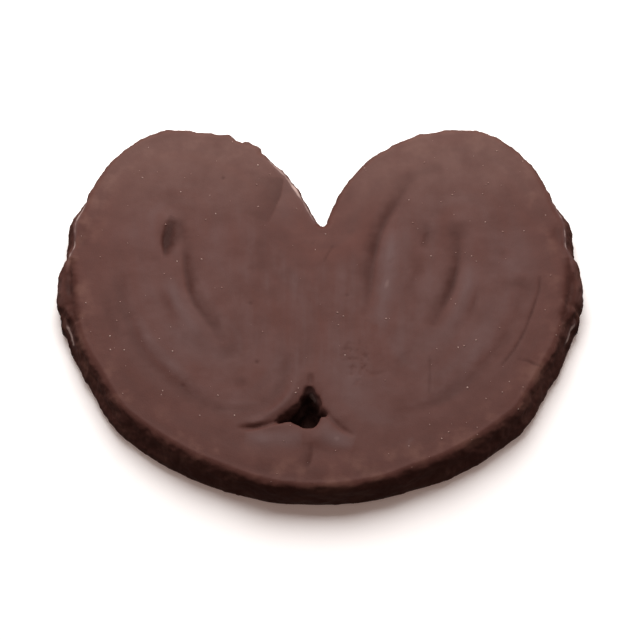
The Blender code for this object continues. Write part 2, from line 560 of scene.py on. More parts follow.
@dataclass(frozen=True)
class Roll:
    """A short round roll pressed on the pastry: its middle line, and its radii across and up."""

    path: tuple[Point3, ...]
    across: float
    up: float
    steps: int = 40
    sides: int = 16
    passes: int = 6
    # How much of the half turn of its taper each blunt end leaves out.
    blunt: float = 0.02

    def mesh(self) -> tuple[np.ndarray, Faces]:
        """The roll round its middle line, tapering to both ends.

        Returns:
            Its points and its faces, closed.
        """
        knots = np.array(self.path, float)
        t = np.linspace(0.0, len(knots) - 1.0, self.steps)
        line = np.column_stack([np.interp(t, range(len(knots)), knots[:, axis]) for axis in range(3)])
        line = softened(line, self.passes)
        along = np.gradient(line, axis=0)
        side = np.column_stack((along[:, 1], -along[:, 0], np.zeros(self.steps)))
        side /= np.linalg.norm(side, axis=1, keepdims=True)
        taper = np.sin(np.linspace(self.blunt, math.pi - self.blunt, self.steps))
        swell = np.sqrt(np.clip(taper, 0.0, 1.0))
        turn = np.linspace(0.0, 2.0 * math.pi, self.sides, endpoint=False)
        rings = (
            line[:, None]
            + side[:, None] * (self.across * swell[:, None] * np.cos(turn))[..., None]
            + np.array((0.0, 0.0, 1.0)) * (self.up * swell[:, None] * np.sin(turn))[..., None]
        )
        return rings.reshape(-1, 3), loft_faces(self.steps, self.sides)


def softened(line: np.ndarray, passes: int) -> np.ndarray:
    """Round a line's corners, and keep its ends.

    Args:
        line: Its points.
        passes: How many times each point moves towards its neighbours.

    Returns:
        The same line, softer.
    """
    for _ in range(passes):
        line[1:-1] = (line[:-2] + 2.0 * line[1:-1] + line[2:]) / 4.0
    return line


def loft_faces(rings: int, sides: int) -> Faces:
    """Quads between rings of points that follow each other.

    Args:
        rings: How many rings there are.
        sides: How many points each has.

    Returns:
        The quads, with a cap at both ends.
    """
    faces = []
    for ring in range(rings - 1):
        for side in range(sides):
            after = (side + 1) % sides
            here, above = ring * sides, (ring + 1) * sides
            faces.append((here + side, here + after, above + after, above + side))
    faces.append(tuple(reversed(range(sides))))
    faces.append(tuple(range((rings - 1) * sides, rings * sides)))
    return faces


@dataclass(frozen=True)
class Blank:
    """The shaped dough before it is coated."""

    heart: Heart = Heart()
    pit: Pit = Pit()
    thickness: float = TOP
    # How far the top edge lies inside the outline: bearing, distance.
    flare: tuple[Point2, ...] = (
        (0.0, 0.0), (16.0, 0.6), (30.0, 1.5), (45.0, 1.9), (62.0, 2.0), (75.0, 1.9), (82.0, 2.1),
        (87.0, 1.9), (90.0, 2.0), (96.0, 1.6), (99.5, 0.5), (101.5, 0.4), (103.5, 1.9), (106.0, 1.4),
        (109.0, 1.4), (112.0, 1.9), (115.0, 1.0), (118.0, 0.15), (180.0, 0.0),
    )
    # How full the side's shoulder is: bearing, share of the fullest.
    full: tuple[Point2, ...] = (
        (0.0, 0.0), (86.0, 0.0), (89.0, 1.0), (98.0, 1.0), (101.0, 0.3), (113.0, 0.4), (117.0, 0.0),
        (180.0, 0.0),
    )
    fullest: float = 5.0
    # The lumps of the layers at the sides: bearing, how far they stand out.
    lumps: tuple[Point2, ...] = (
        (0.0, 0.0), (80.0, 0.0), (83.5, -0.35), (85.0, 0.15), (87.0, 0.0), (88.0, -0.75), (89.3, 0.0),
        (92.0, 0.25), (96.0, 0.0), (99.0, -0.45), (101.0, -1.35), (103.5, -0.6), (106.5, -0.3),
        (109.0, 0.4), (111.5, 0.8), (113.5, 0.2), (116.0, -0.1), (119.0, 0.0), (180.0, 0.0),
    )
    # The edge from the top inwards to the base: flare share, inset, height share.
    edge: tuple[Point3, ...] = (
        (1.0, 1.9, 1.0), (1.0, 1.4, 0.993), (1.0, 0.95, 0.972), (1.0, 0.55, 0.938), (0.97, 0.26, 0.885),
        (0.9, 0.09, 0.81), (0.72, 0.01, 0.67), (0.42, 0.0, 0.5), (0.1, 0.0, 0.33), (0.0, 0.1, 0.17),
        (0.0, 0.45, 0.05), (0.0, 0.75, 0.0),
    )
    rim_drop: float = 0.1
    rim_reach: float = 1.6
    lip_rise: float = 0.25
    lip_reach: float = 2.2
    rolls: tuple[Roll, ...] = (
        Roll(((-28.6, 44.7, 7.4), (-25.5, 45.1, 7.6), (-23.0, 45.0, 7.6), (-20.3, 44.3, 7.4)), 0.7, 0.9),
        Roll(((-18.7, 42.4, 7.8), (-17.3, 42.9, 8.2), (-16.0, 42.3, 7.9)), 0.8, 0.9),
        Roll(((-15.4, 41.7, 7.7), (-14.6, 41.4, 7.9), (-14.0, 40.4, 7.7)), 0.6, 0.9),
        Roll(((-11.0, 36.2, 7.6), (-9.5, 35.3, 8.0), (-8.0, 33.8, 7.6)), 0.7, 0.9),
    )
    spokes: int = 480
    steps: int = 70

    def mesh(self) -> bpy.types.Mesh:
        """The loft from the pit's floor over the top and the edge to the base, with the rolls.

        Returns:
            The blank, its box centred on the origin.
        """
        outline = self.heart.smooth(self.spokes)
        bearings = self.heart.bearings(outline)
        turned = np.abs(bearings)
        out = sum(swell.at(bearings) for swell in self.heart.edge) + self._along(turned, self.lumps)
        flare = self._along(turned, self.flare)
        full = 1.0 + self.fullest * self._along(turned, self.full)
        normals = self.heart.normals(outline)
        edge = []
        for share, inset, height in self.edge:
            away = out - inset - flare * share**full
            flat = outline + normals * away[:, None]
            edge.append(np.column_stack((flat, np.full(self.spokes, height * self.thickness))))
        mouth = self.pit.mouth(outline)
        rings = self.pit.rings(mouth)
        start = np.array(self.pit.centre) + mouth
        rim = edge[0][:, :2]
        for share in np.linspace(0.0, 1.0, self.steps, endpoint=False):
            flat = start + (rim - start) * share
            gap = np.linalg.norm(flat - start, axis=1)
            lip = self.lip_rise * np.exp(-(((gap - self.lip_reach) / self.lip_reach) ** 2))
            drop = self.rim_drop * np.exp(-self._to_rim(flat, rim) / self.rim_reach)
            rings.append(np.column_stack((flat, self.thickness + lip - drop)))
        rings += edge
        points = np.vstack(rings)
        points[:, :2] -= (points[:, :2].min(axis=0) + points[:, :2].max(axis=0)) / 2.0
        faces = [tuple(reversed(face)) for face in loft_faces(len(rings), self.spokes)]
        for roll in self.rolls:
            more, more_faces = roll.mesh()
            faces += [tuple(index + len(points) for index in face) for face in more_faces]
            points = np.vstack((points, more))
        mesh = bpy.data.meshes.new("blank")
        mesh.from_pydata((points * MM).tolist(), [], faces)
        return mesh

    @staticmethod
    def _along(bearings: np.ndarray, rows: tuple[Point2, ...]) -> np.ndarray:
        """A distance by bearing, eased between its stated rows.

        Args:
            bearings: Where it is wanted.
            rows: Each stated bearing with its distance.

        Returns:
            The distance at each bearing.
        """
        places, heights = np.array(rows).T
        after = np.clip(np.searchsorted(places, bearings, side="right"), 1, len(places) - 1)
        share = np.clip((bearings - places[after - 1]) / (places[after] - places[after - 1]), 0.0, 1.0)
        ease = share * share * (3.0 - 2.0 * share)
        return heights[after - 1] + (heights[after] - heights[after - 1]) * ease

    @staticmethod
    def _to_rim(flat: np.ndarray, rim: np.ndarray) -> np.ndarray:
        """The distance from each point to the nearest of the rim's."""
        gaps = flat[:, None, :] - rim[None, ::2, :]
        return np.sqrt((gaps**2).sum(axis=2).min(axis=1))


# ---------------------------------------------------------------------------
# Strokes carved into the top
# ---------------------------------------------------------------------------


@dataclass(frozen=True)
class Stroke:
    """One pass of the modelling tool, along a smooth line through a few points seen from above.

    Left and right are as one looks along the line. A tone above 0 is greyer and brighter, and one
    below 0 is darker: in grooves, creases and under lumps the darker tone is painted shade, and on
    edges, lips and raised rolls the brighter tone is painted highlight and sheen. The tone is the same
    on both sides, unless the right side is given its own.
    """

    line: tuple[Point2, ...]
    depth: float = 0.0
    width: float = 1.5
    tone: float = 0.0
    spread: float = 2.0
    right: float | None = None
    step: float = 0.0
    reach: float = 3.0
    soft: float = 1.0
    fade: float = 0.5
    height: float = TOP
    points: int = 60

    def tone_right(self) -> float:
        """The tone on the right side."""
        return self.tone if self.right is None else self.right

    def wobble(self) -> float:
        """How far the line strays, in millimetres."""
        return min(0.4, 0.3 * self.spread)

    def mirrored(self) -> "Stroke":
        """The same stroke on the other side of the pastry."""
        return replace(self, line=tuple((-x, y) for x, y in self.line), tone=self.tone_right(),
                       right=self.tone, step=-self.step)

    def guide(self, name: str) -> bpy.types.Object:
        """The stroke's line as loose edges, with its fade and its direction on each point.

        Args:
            name: The guide's name.

        Returns:
            The guide.
        """
        knots = np.array(self.line)
        walked = np.concatenate(([0.0], np.cumsum(np.hypot(*np.diff(knots, axis=0).T))))
        even = np.linspace(0.0, walked[-1], self.points)
        flat = np.column_stack([np.interp(even, walked, knots[:, axis]) for axis in (0, 1)])
        flat = softened(flat, self.points // 4)
        places = [(x, y, self.height) for x, y in flat]
        guide = wire(name, places, [(i, i + 1) for i in range(self.points - 1)])
        arch = np.clip(np.sin(math.pi * np.linspace(0.0, 1.0, self.points)), 0.0, 1.0)
        fades = (arch**self.fade).astype(np.float32)
        along = np.gradient(np.array(places) * MM, axis=0)
        along /= np.linalg.norm(along, axis=1, keepdims=True)
        kept = guide.data.attributes
        kept.new("fade", "FLOAT", "POINT").data.foreach_set("value", fades)
        kept.new("along", "FLOAT_VECTOR", "POINT").data.foreach_set(
            "vector", along.astype(np.float32).ravel())
        return guide


class Carver:
    """Geometry Nodes that cut a groove, a step and a tone along a guide; the tone, darker for painted shade
    and brighter for painted highlight, is kept for the material.
    """

    # The wobble's waves per millimetre; then those of the wear, and the least and the most of a
    # stroke that it leaves.
    WOBBLE_SCALE = 0.4
    WEAR_SCALE = 0.16
    WEAR_RANGE = (-1.6, 0.9)
    WEAR_LEAST = 0.45
    WEAR_SHARE = 0.8

    def __init__(self) -> None:
        """Build the tree once for all strokes."""
        numbers = {"Depth": 0.0, "Width": 1.5, "Step": 0.0, "Reach": 3.0, "Tone Left": 0.0,
                   "Tone Right": 0.0, "Spread": 2.0, "Soft": 1.0, "Wobble": 0.3}
        tree = Shaper("Carve", {
            "Guide": (Input.OBJECT, None),
            **{label: (Input.NUMBER, value) for label, value in numbers.items()},
            "Material": (Input.MATERIAL, None),
        })
        guide = tree.guide("Guide")
        near = tree.nearest(guide, "Position")
        place = tree.place()
        stray = tree.noise(place, self.WOBBLE_SCALE, 2.0, 0.6) * tree.size("Wobble")
        gap = near.out("Distance") / MM + stray
        wear = tree.ramp(tree.noise(place, self.WEAR_SCALE, 1.0), *self.WEAR_RANGE)
        index = tree.add("GeometryNodeSampleNearest", {"domain": "POINT"},
                         {"Geometry": guide, "Sample Position": near})
        worn = wear * self.WEAR_SHARE + self.WEAR_LEAST
        fade = self._sampled(tree, guide, "fade", "FLOAT", index) * worn
        along = self._sampled(tree, guide, "along", "FLOAT_VECTOR", index)
        away = tree.vector("SUBTRACT", tree.position(), near)
        aside = tree.xyz(tree.vector("CROSS_PRODUCT", away, along))[2] / MM
        bank = tree.ramp(aside, -tree.size("Soft"), tree.size("Soft"))
        groove = (-((gap / tree.size("Width")) ** 2.0)).exp() * tree.size("Depth")
        shelf = (bank * 2.0 - 1.0) * (-(gap / tree.size("Reach"))).exp() * tree.size("Step")
        lifted = tree.lift(tree.size("Geometry"), (shelf - groove) * fade, tree.xyz(place)[2])
        # The tone beside the stroke: below 0 it paints shade in the grooves and darker chocolate in the
        # patches, above 0 a painted highlight and sheen.
        tint = tree.size("Tone Left") * (1.0 - bank) + tree.size("Tone Right") * bank
        tone = tree.named("tone") + tint * fade * (-((gap / tree.size("Spread")) ** 2.0)).exp()
        tree.close(tree.store(lifted, "tone", tone))
        self.tree = tree

    @staticmethod
    def _sampled(tree: Shaper, guide: Sock, label: str, kind: str, index: Sock) -> Sock:
        """An attribute of the guide at its nearest point."""
        return tree.add("GeometryNodeSampleIndex", {"data_type": kind, "domain": "POINT"},
                        {"Geometry": guide, "Value": tree.named(label, kind), "Index": index})

    def carve(self, piece: bpy.types.Object, strokes: list[Stroke], material: bpy.types.Material,
              ) -> list[bpy.types.Object]:
        """Put each stroke on the piece.

        Args:
            piece: The skinned blank.
            strokes: The strokes, in the order they are cut.
            material: What the piece is dressed in.

        Returns:
            The guides, which stay until the piece is settled.
        """
        guides = []
        for number, stroke in enumerate(strokes):
            guides.append(stroke.guide(f"guide_{number}"))
            self.tree.attach(piece, {
                "Guide": guides[-1], "Depth": stroke.depth, "Width": stroke.width, "Step": stroke.step,
                "Reach": stroke.reach, "Tone Left": stroke.tone, "Tone Right": stroke.tone_right(),
                "Spread": stroke.spread, "Soft": stroke.soft, "Wobble": stroke.wobble(),
                "Material": material,
            })
        return guides


@dataclass
class Coat:
    """Geometry Nodes for the uneven chocolate: waves, streaks along the swirl and a rougher flank.

    Scales are in waves for each millimetre.
    """

    wave: float = 0.10
    wave_scale: float = 0.11
    streak: float = 0.035
    streak_scale: float = 0.20
    grain: float = 0.014
    grain_scale: float = 1.1
    flank: float = 0.30
    flank_scale: float = 0.27
    ripple_share: float = 0.22
    ripple_scale: float = 0.9
    # How steep a face still counts as the top: the upward part of its normal.
    top_from: Point2 = (0.5, 0.97)
    # The distances from the rim between which the streaks turn from the rim to the rolls.
    turn_in: Point2 = (8.0, 16.0)
    pock: float = 0.14
    # The rough patch: its middle and its half sizes.
    patch_at: Point2 = (7.8, -16.4)
    patch_size: Point2 = (3.6, 6.4)
    patch_scale: float = 0.75
    pit_scale: float = 0.1
    # How much the pocks lower the tone, as painted shade in them.
    pock_shade: float = 0.4

    def _tree(self) -> Shaper:
        """Build the tree.

        Returns:
            It, with the sizes of this coat as its defaults.
        """
        tree = Shaper("Coat", {
            "Rim": (Input.OBJECT, None), "Spines": (Input.OBJECT, None),
            "Wave Height": (Input.NUMBER, self.wave), "Streak Height": (Input.NUMBER, self.streak),
            "Grain Height": (Input.NUMBER, self.grain), "Flank Height": (Input.NUMBER, self.flank),
            "Pock Depth": (Input.NUMBER, self.pock), "Material": (Input.MATERIAL, None),
        })
        rim_gap = tree.nearest(tree.guide("Rim"), "Distance") / MM
        spine_gap = tree.nearest(tree.guide("Spines"), "Distance") / MM
        place = tree.place()
        x, y, z = tree.xyz(place)
        flat = tree.ramp(tree.xyz(tree.normal())[2], *self.top_from)
        waves = tree.noise(place, self.wave_scale, 1.0) * tree.size("Wave Height")
        ring = tree.noise(tree.combine(rim_gap, x * 0.2, y * 0.2), self.streak_scale, 2.0, 0.4)
        inner = tree.noise(tree.combine(spine_gap, x * 0.25, y * 0.2), self.streak_scale, 2.0, 0.4)
        inside = tree.ramp(rim_gap, *self.turn_in)
        streaks = (ring * (1.0 - inside) + inner * inside) * tree.size("Streak Height")
        grain = tree.noise(place, self.grain_scale, 2.0) * tree.size("Grain Height")
        side = tree.noise(place, self.flank_scale, 2.0, 0.6) * tree.size("Flank Height")
        ripple = tree.noise(place, self.ripple_scale, 1.0) * tree.size("Flank Height") * self.ripple_share
        pocks = self._patch(tree, place, x, y).top(self._pits(tree, place) * flat)
        height = waves + grain + streaks * flat + (side + ripple) * (1.0 - flat)
        shape = tree.lift(tree.size("Geometry"), height - pocks * tree.size("Pock Depth"), z)
        # The pocks lower the stored tone: painted shade in them.
        for label, value in (("rim_gap", rim_gap), ("spine_gap", spine_gap),
                             ("tone", tree.named("tone") - pocks * self.pock_shade)):
            shape = tree.store(shape, label, value)
        tree.close(shape)
        return tree

    def _patch(self, tree: Shaper, place: Sock, x: Sock, y: Sock) -> Sock:
        """The small hollows of the rough patch, from 0 to 1.

        Args:
            tree: The tree that they are added to.
            place: Each point's place in millimetres.
            x: Its first part.
            y: Its second part.

        Returns:
            How deep each point lies in a hollow.
        """
        across = (x - self.patch_at[0]) / self.patch_size[0]
        along = (y - self.patch_at[1]) / self.patch_size[1]
        patch = 1.0 - tree.ramp(across**2.0 + along**2.0, 0.3, 1.2)
        return tree.ramp(tree.noise(place, self.patch_scale, 3.0, 0.6), -0.05, 0.55) * patch

    def _pits(self, tree: Shaper, place: Sock) -> Sock:
        """The rare single pocks, from 0 to 1.

        Args:
            tree: The tree that they are added to.
            place: Each point's place in millimetres.

        Returns:
            How deep each point lies in a pock.
        """
        cells = tree.add("ShaderNodeTexVoronoi", {"feature": "F1"},
                         {"Vector": place, "Scale": self.pit_scale})
        rare = tree.ramp(tree.xyz(cells.out("Color"))[0], 0.35, 0.45)
        return (1.0 - tree.ramp(cells / self.pit_scale, 0.15, 0.75)) * rare

    def pour(self, piece: bpy.types.Object, rim: bpy.types.Object, spines: bpy.types.Object,
             material: bpy.types.Material) -> None:
        """Put the coat on the piece."""
        self._tree().attach(piece, {"Rim": rim, "Spines": spines, "Material": material})


@dataclass
class Pastry:
    """The coated palmier as one skin."""

    blank: Blank = field(default_factory=Blank)
    skin: float = 0.39
    smoothing: int = 4
    rim_points: int = 300
    # The share of the flat base's faces that is kept, and the height that they lie below.
    base_kept: float = 0.04
    base_height: float = 0.02
    # The innermost turn of each roll, which the streaks run round.
    spines: tuple[tuple[Point2, ...], ...] = (
        ((-33.8, 21.0), (-33.2, 13.0), (-31.2, 5.0), (-27.5, -3.5), (-21.5, -11.4)),
        ((32.2, 21.0), (32.6, 13.0), (31.4, 5.0), (28.2, -3.5), (23.0, -11.4)),
    )

    def seams(self) -> list[Stroke]:
        """The roll seams, dimples, lips and flaps that show on the top.

        Returns:
            The strokes, in the order they are cut.
        """
        return [
            # Left lobe: the dimple in the innermost turn, sharp at its outer and upper edges, with painted
            # shade in it.
            Stroke(((-34.3, 21.0), (-34.9, 17.0), (-35.0, 11.6)), 0.42, 1.3, -0.5, 1.6, right=-0.4),
            Stroke(((-34.6, 22.6), (-36.0, 19.0), (-36.3, 15.4), (-35.7, 10.6)), 0.1, 0.8, -0.7, 2.3,
                   right=0.0, step=0.14, reach=2.4, soft=0.35, fade=0.4),
            Stroke(((-32.4, 21.4), (-31.9, 17.6), (-32.4, 14.0)), 0.15, 1.1, -0.25, 1.3, right=-0.3,
                   fade=0.6),
            # Left lobe: the seams of the inner, middle and outer rolls, with painted shade in the seams and
            # painted sheen on the raised rolls.
            Stroke(((-31.6, 17.0), (-31.5, 11.5), (-31.0, 6.4), (-30.0, 1.7), (-28.4, -2.2),
                   (-26.2, -5.0), (-24.0, -8.4), (-22.6, -12.0)), 0.34, 1.5, -0.62, 2.4, right=0.1,
                   step=0.13, soft=0.7, fade=0.6),
            Stroke(((-34.0, 6.0), (-32.8, 0.0), (-30.2, -5.0), (-26.6, -9.4)), -0.08, 1.5, 0.45, 1.6),
            Stroke(((-36.0, 3.5), (-34.5, -1.5), (-32.2, -6.2)), 0.15, 0.9, -0.25, 1.1, fade=0.8),
            Stroke(((-23.6, -4.0), (-23.2, -6.4), (-22.2, -9.0)), 0.12, 0.7, -0.3, 0.9, fade=0.8),
            Stroke(((-46.2, 9.0), (-45.4, 2.5), (-43.4, -4.5), (-40.4, -12.0), (-36.6, -17.6),
                   (-31.0, -23.0), (-25.0, -27.0), (-19.0, -28.2)), 0.24, 1.6, -0.3, 1.8, right=-0.34,
                   fade=0.7),
            Stroke(((-42.0, -4.0), (-38.5, -11.0), (-34.5, -16.0), (-29.0, -20.5)), -0.14, 1.8, 0.4, 2.0),
            Stroke(((-49.2, -1.0), (-47.6, -5.0), (-45.6, -9.0)), 0.12, 1.3, -0.15, 1.3),
            # Right lobe: the fold beside the notch, with painted shade in it and a painted highlight on the
            # bright roll at its side.
            Stroke(((22.0, 33.0), (18.4, 25.8), (15.2, 20.2), (13.7, 15.6), (12.7, 10.5), (12.2, 5.0),
                   (11.6, 0.0), (10.7, -5.0)), 0.34, 1.7, -0.1, 2.6, right=-0.64, step=-0.17, reach=3.5,
                   soft=0.8, fade=0.7),
            Stroke(((17.8, 19.0), (16.3, 13.0), (15.6, 7.0), (15.0, 1.0), (12.8, -7.0)), -0.16, 1.9, 1.2,
                   2.2, fade=0.6),
            # Right lobe: the seams of the inner, middle and outer rolls, with painted shade in the seams
            # and painted sheen on the raised rolls.
            Stroke(((32.5, 18.0), (32.2, 11.7), (31.3, 6.4), (30.3, 2.4), (28.8, -0.9), (26.9, -4.6),
                   (25.6, -7.6)), 0.3, 1.7, -0.1, 2.5, right=-0.68, step=-0.12, soft=0.8, fade=0.6),
            Stroke(((34.6, 10.0), (33.6, 3.0), (31.4, -2.5), (28.2, -7.5), (25.4, -13.0)), -0.08, 1.5,
                   0.5, 1.6),
            Stroke(((24.7, 18.0), (24.2, 16.0), (23.6, 13.5)), 0.15, 0.6, -0.3, 0.7, fade=0.8),
            Stroke(((23.4, 11.5), (21.6, 6.0), (19.4, 0.5)), 0.1, 1.2, -0.2, 1.3, fade=0.8),
            Stroke(((36.0, 4.0), (34.9, -1.5), (33.2, -6.4)), 0.18, 0.8, -0.3, 1.0, fade=0.8),
            Stroke(((47.4, 9.0), (46.4, 2.0), (44.4, -3.5), (41.2, -10.0), (37.6, -15.6), (33.4, -20.6),
                   (28.0, -25.4), (22.0, -28.2), (15.5, -29.2)), 0.24, 1.6, -0.34, 1.8, right=-0.3,
                   fade=0.7),
            Stroke(((22.6, -11.0), (18.6, -15.0), (16.0, -20.5)), 0.08, 1.4, -0.18, 1.6, fade=0.8),
            Stroke(((9.6, -18.8), (12.0, -19.3), (14.6, -18.8)), 0.1, 0.5, -0.3, 0.6, fade=0.8),
            # Grooves behind the swollen sides, the cuts between their layers, with painted shade in the
            # grooves and cuts and under the lowest layer, and painted highlights on their bright edges and
            # ledges.
            *self._both(((57.2, 11.0), (57.3, 7.0), (56.9, 3.0), (56.2, -1.5), (55.0, -6.0)), 0.7, 1.15,
                        -1.1, 1.45, right=-1.0, fade=0.3),
            *self._both(((61.4, -1.8), (59.4, -1.9), (57.4, -2.8), (55.4, -4.4)), 0.4, 1.1, -0.4, 1.3,
                        height=6.0),
            *self._both(((59.4, -2.0), (58.6, -5.4), (57.6, -8.6), (56.2, -12.0)), tone=-1.0, spread=1.5,
                        fade=0.3, height=3.4),
            *self._both(((57.4, -2.8), (57.0, -5.4), (56.2, -8.4), (55.2, -12.2)), -0.3, 0.5, 2.4, 0.7,
                        fade=0.4, height=5.4),
            *self._both(((59.0, 7.0), (59.6, 3.0), (59.3, -0.6)), tone=0.7, spread=1.0, height=6.5),
            *self._both(((53.4, 27.6), (55.0, 24.3), (56.3, 20.0), (56.1, 14.4), (57.5, 10.4),
                        (57.9, 7.4)), -0.1, 0.45, 1.95, 0.42, fade=0.25, height=8.5),
            *self._both(((56.6, 25.6), (57.8, 21.5), (57.8, 17.0), (58.0, 13.0)), tone=-0.35, spread=1.7,
                        fade=0.3, height=7.0),
            *self._both(((54.9, 20.4), (54.6, 17.0), (55.0, 13.8)), 0.12, 1.2, -0.3, 1.3),
            *self._both(((55.6, -2.4), (54.2, -6.5), (52.6, -10.5)), 0.08, 1.2, -0.12, 1.4),
            # A painted highlight along the coat's thin edge beside the notch and along the left lobe's
            # back.
            Stroke(self._rim_line(-180.0, -161.0, 0.7), tone=1.5, spread=0.62, fade=0.25, height=8.8),
            Stroke(self._rim_line(-152.0, -146.0, 0.6), tone=1.4, spread=0.55, height=8.7),
            # The rolled lip on the pit's left with a painted highlight, the hollow beside it and the
            # creases from the pit's points with painted shade, and a painted highlight on the pit's upper
            # wall.
            Stroke(((-5.0, -11.5), (-5.1, -19.0), (-6.1, -24.2), (-9.0, -28.2), (-13.6, -30.9),
                   (-19.4, -32.0)), -0.3, 1.0, 0.35, 1.2, fade=0.7),
            Stroke(((-7.0, -14.0), (-7.8, -20.0), (-9.4, -24.4), (-12.6, -28.0)), 0.14, 1.2, -0.22, 1.4),
            Stroke(((-8.8, -30.9), (-11.6, -31.8), (-14.5, -32.5), (-18.2, -32.6)), 0.7, 0.55, -0.6, 0.65,
                   fade=0.8),
            Stroke(((-1.9, -19.0), (-2.0, -20.5), (-2.2, -22.5)), 0.35, 0.7, -0.25, 0.8, fade=0.8),
            Stroke(((-2.4, -21.6), (-1.2, -24.0), (-0.2, -26.4)), tone=1.5, spread=1.5, height=6.6),
            Stroke(((0.6, -28.4), (2.0, -30.0), (3.4, -31.7), (5.4, -33.4), (7.6, -34.7)), 0.34, 0.6,
                   -0.32, 0.8, fade=0.8),
            Stroke(((-1.7, -36.0), (-1.5, -38.4), (-1.8, -40.6), (-2.8, -42.6)), 0.15, 0.8, 0.1, 2.2,
                   right=-0.42, soft=0.35, fade=0.6),
            # The two flaps in front of the pit, painted with sheen, and the coat's horizontal drags beside
            # it, their ridges painted lighter and their hollows darker.
            Stroke(((-16.5, -34.8), (-12.0, -35.2), (-8.0, -35.4), (-3.6, -35.4)), -0.1, 1.7, 0.95, 1.9,
                   fade=0.4),
            Stroke(((0.0, -32.6), (1.8, -34.2), (4.0, -35.6), (7.4, -36.8)), -0.14, 1.9, 0.9, 2.1,
                   fade=0.4),
            Stroke(((-2.4, -36.6), (1.6, -38.2), (6.4, -38.6), (9.4, -37.4)), 0.05, 0.9, -0.2, 0.9),
            Stroke(((-22.0, -26.6), (-17.5, -26.5), (-13.0, -26.3)), -0.05, 0.5, 0.3, 0.55),
            Stroke(((-24.0, -28.0), (-19.0, -28.1), (-14.4, -27.8)), 0.05, 0.6, -0.2, 0.7),
            # Cracks in the coat.
            Stroke(((50.0, 6.5), (49.7, 2.5), (48.4, -1.0), (47.2, -4.6), (45.4, -9.2), (43.2, -13.2),
                   (40.2, -17.2)), 0.08, 0.3, -0.6, 0.3, fade=0.3),
            Stroke(((43.6, -15.4), (46.0, -15.9), (48.0, -16.9), (50.2, -17.6)), 0.08, 0.3, -0.5, 0.3),
            Stroke(((24.4, -14.5), (24.3, -19.0), (24.0, -24.4)), 0.08, 0.3, -0.5, 0.32),
            Stroke(((3.1, 14.4), (1.9, 12.2), (0.8, 9.6)), 0.08, 0.3, -0.45, 0.32),
        ]

    def tones(self) -> list[Stroke]:
        """Where the coat is painted greyer, bloomed and with painted sheen, or darker, with hardly any
        relief.

        Returns:
            The strokes, in the order they are laid.
        """
        return [
            self._tone(((-8.3, 33.0), (-8.9, 28.0), (-10.1, 24.8), (-11.8, 20.4)), 0.3, 4.6, right=-0.5,
                       soft=0.3, fade=0.3),
            self._tone(((-13.5, 24.0), (-13.3, 15.0), (-13.4, 6.0)), -0.22, 1.8),
            self._tone(((31.2, 21.4), (31.2, 18.4), (31.4, 15.6)), -0.4, 2.7),
            self._tone(((24.6, 21.4), (24.4, 17.0)), -0.25, 2.0),
            self._tone(((45.5, 20.0), (45.5, 12.0), (44.0, 4.0)), 0.3, 5.0),
            self._tone(((42.4, 14.0), (41.0, 10.5)), -0.35, 2.2),
            self._tone(((45.4, 7.0), (44.4, 3.0)), -0.3, 2.2),
            self._tone(((-14.0, -41.0), (-9.0, -43.0)), -0.2, 2.0, right=-0.25),
            self._tone(((4.5, -42.6), (9.0, -43.4), (14.0, -42.0)), -0.22, 1.8),
            self._tone(((-31.5, -5.0), (-30.5, -11.0), (-28.0, -17.0)), 0.4, 3.4),
            self._tone(((38.0, 2.0), (38.6, -5.0), (35.5, -12.0), (31.0, -18.0)), 0.4, 3.2),
            self._tone(((4.0, -15.0), (8.0, -21.0), (6.0, -27.5)), 0.45, 4.2),
            self._tone(((-27.0, 17.0), (-24.0, 9.0), (-20.0, 1.0)), 0.25, 4.0),
            self._tone(((-21.0, -11.0), (-20.4, -15.5)), -0.2, 2.2),
            self._tone(((-17.6, -19.6), (-16.6, -22.4)), -0.25, 1.4),
            self._tone(((19.0, 31.4), (23.0, 34.2), (29.0, 35.8)), -0.22, 1.5),
            self._tone(((20.5, -35.0), (19.3, -36.0), (19.2, -38.0)), 0.9, 0.45),
            self._tone(((-8.6, -43.4), (-5.0, -41.6), (-2.0, -42.6), (2.0, -44.6)), -0.2, 1.8),
        ]

    def _rim_line(self, start: float, end: float, inset: float) -> tuple[Point2, ...]:
        """Part of the outline, moved inwards.

        Args:
            start: The bearing where it starts, in degrees.
            end: The bearing where it ends.
            inset: How far it is moved.

        Returns:
            Its points.
        """
        heart = self.blank.heart
        outline = heart.smooth(self.blank.spokes)
        bearings = heart.bearings(outline)
        kept = (bearings >= start) & (bearings <= end)
        return tuple((x, y) for x, y in (outline - heart.normals(outline) * inset)[kept].tolist())

    @staticmethod
    def _tone(line: tuple[Point2, ...], tone: float, spread: float, fade: float = 0.7,
              **more: float) -> Stroke:
        """A stroke that only changes the coat's tone."""
        return Stroke(line, tone=tone, spread=spread, fade=fade, **more)

    @staticmethod
    def _both(line: tuple[Point2, ...], *sizes: float, **more: float) -> list[Stroke]:
        """A stroke on the right side and its mirror image on the left."""
        stroke = Stroke(line, *sizes, **more)
        return [stroke if hand is Hand.RIGHT else stroke.mirrored() for hand in Hand]

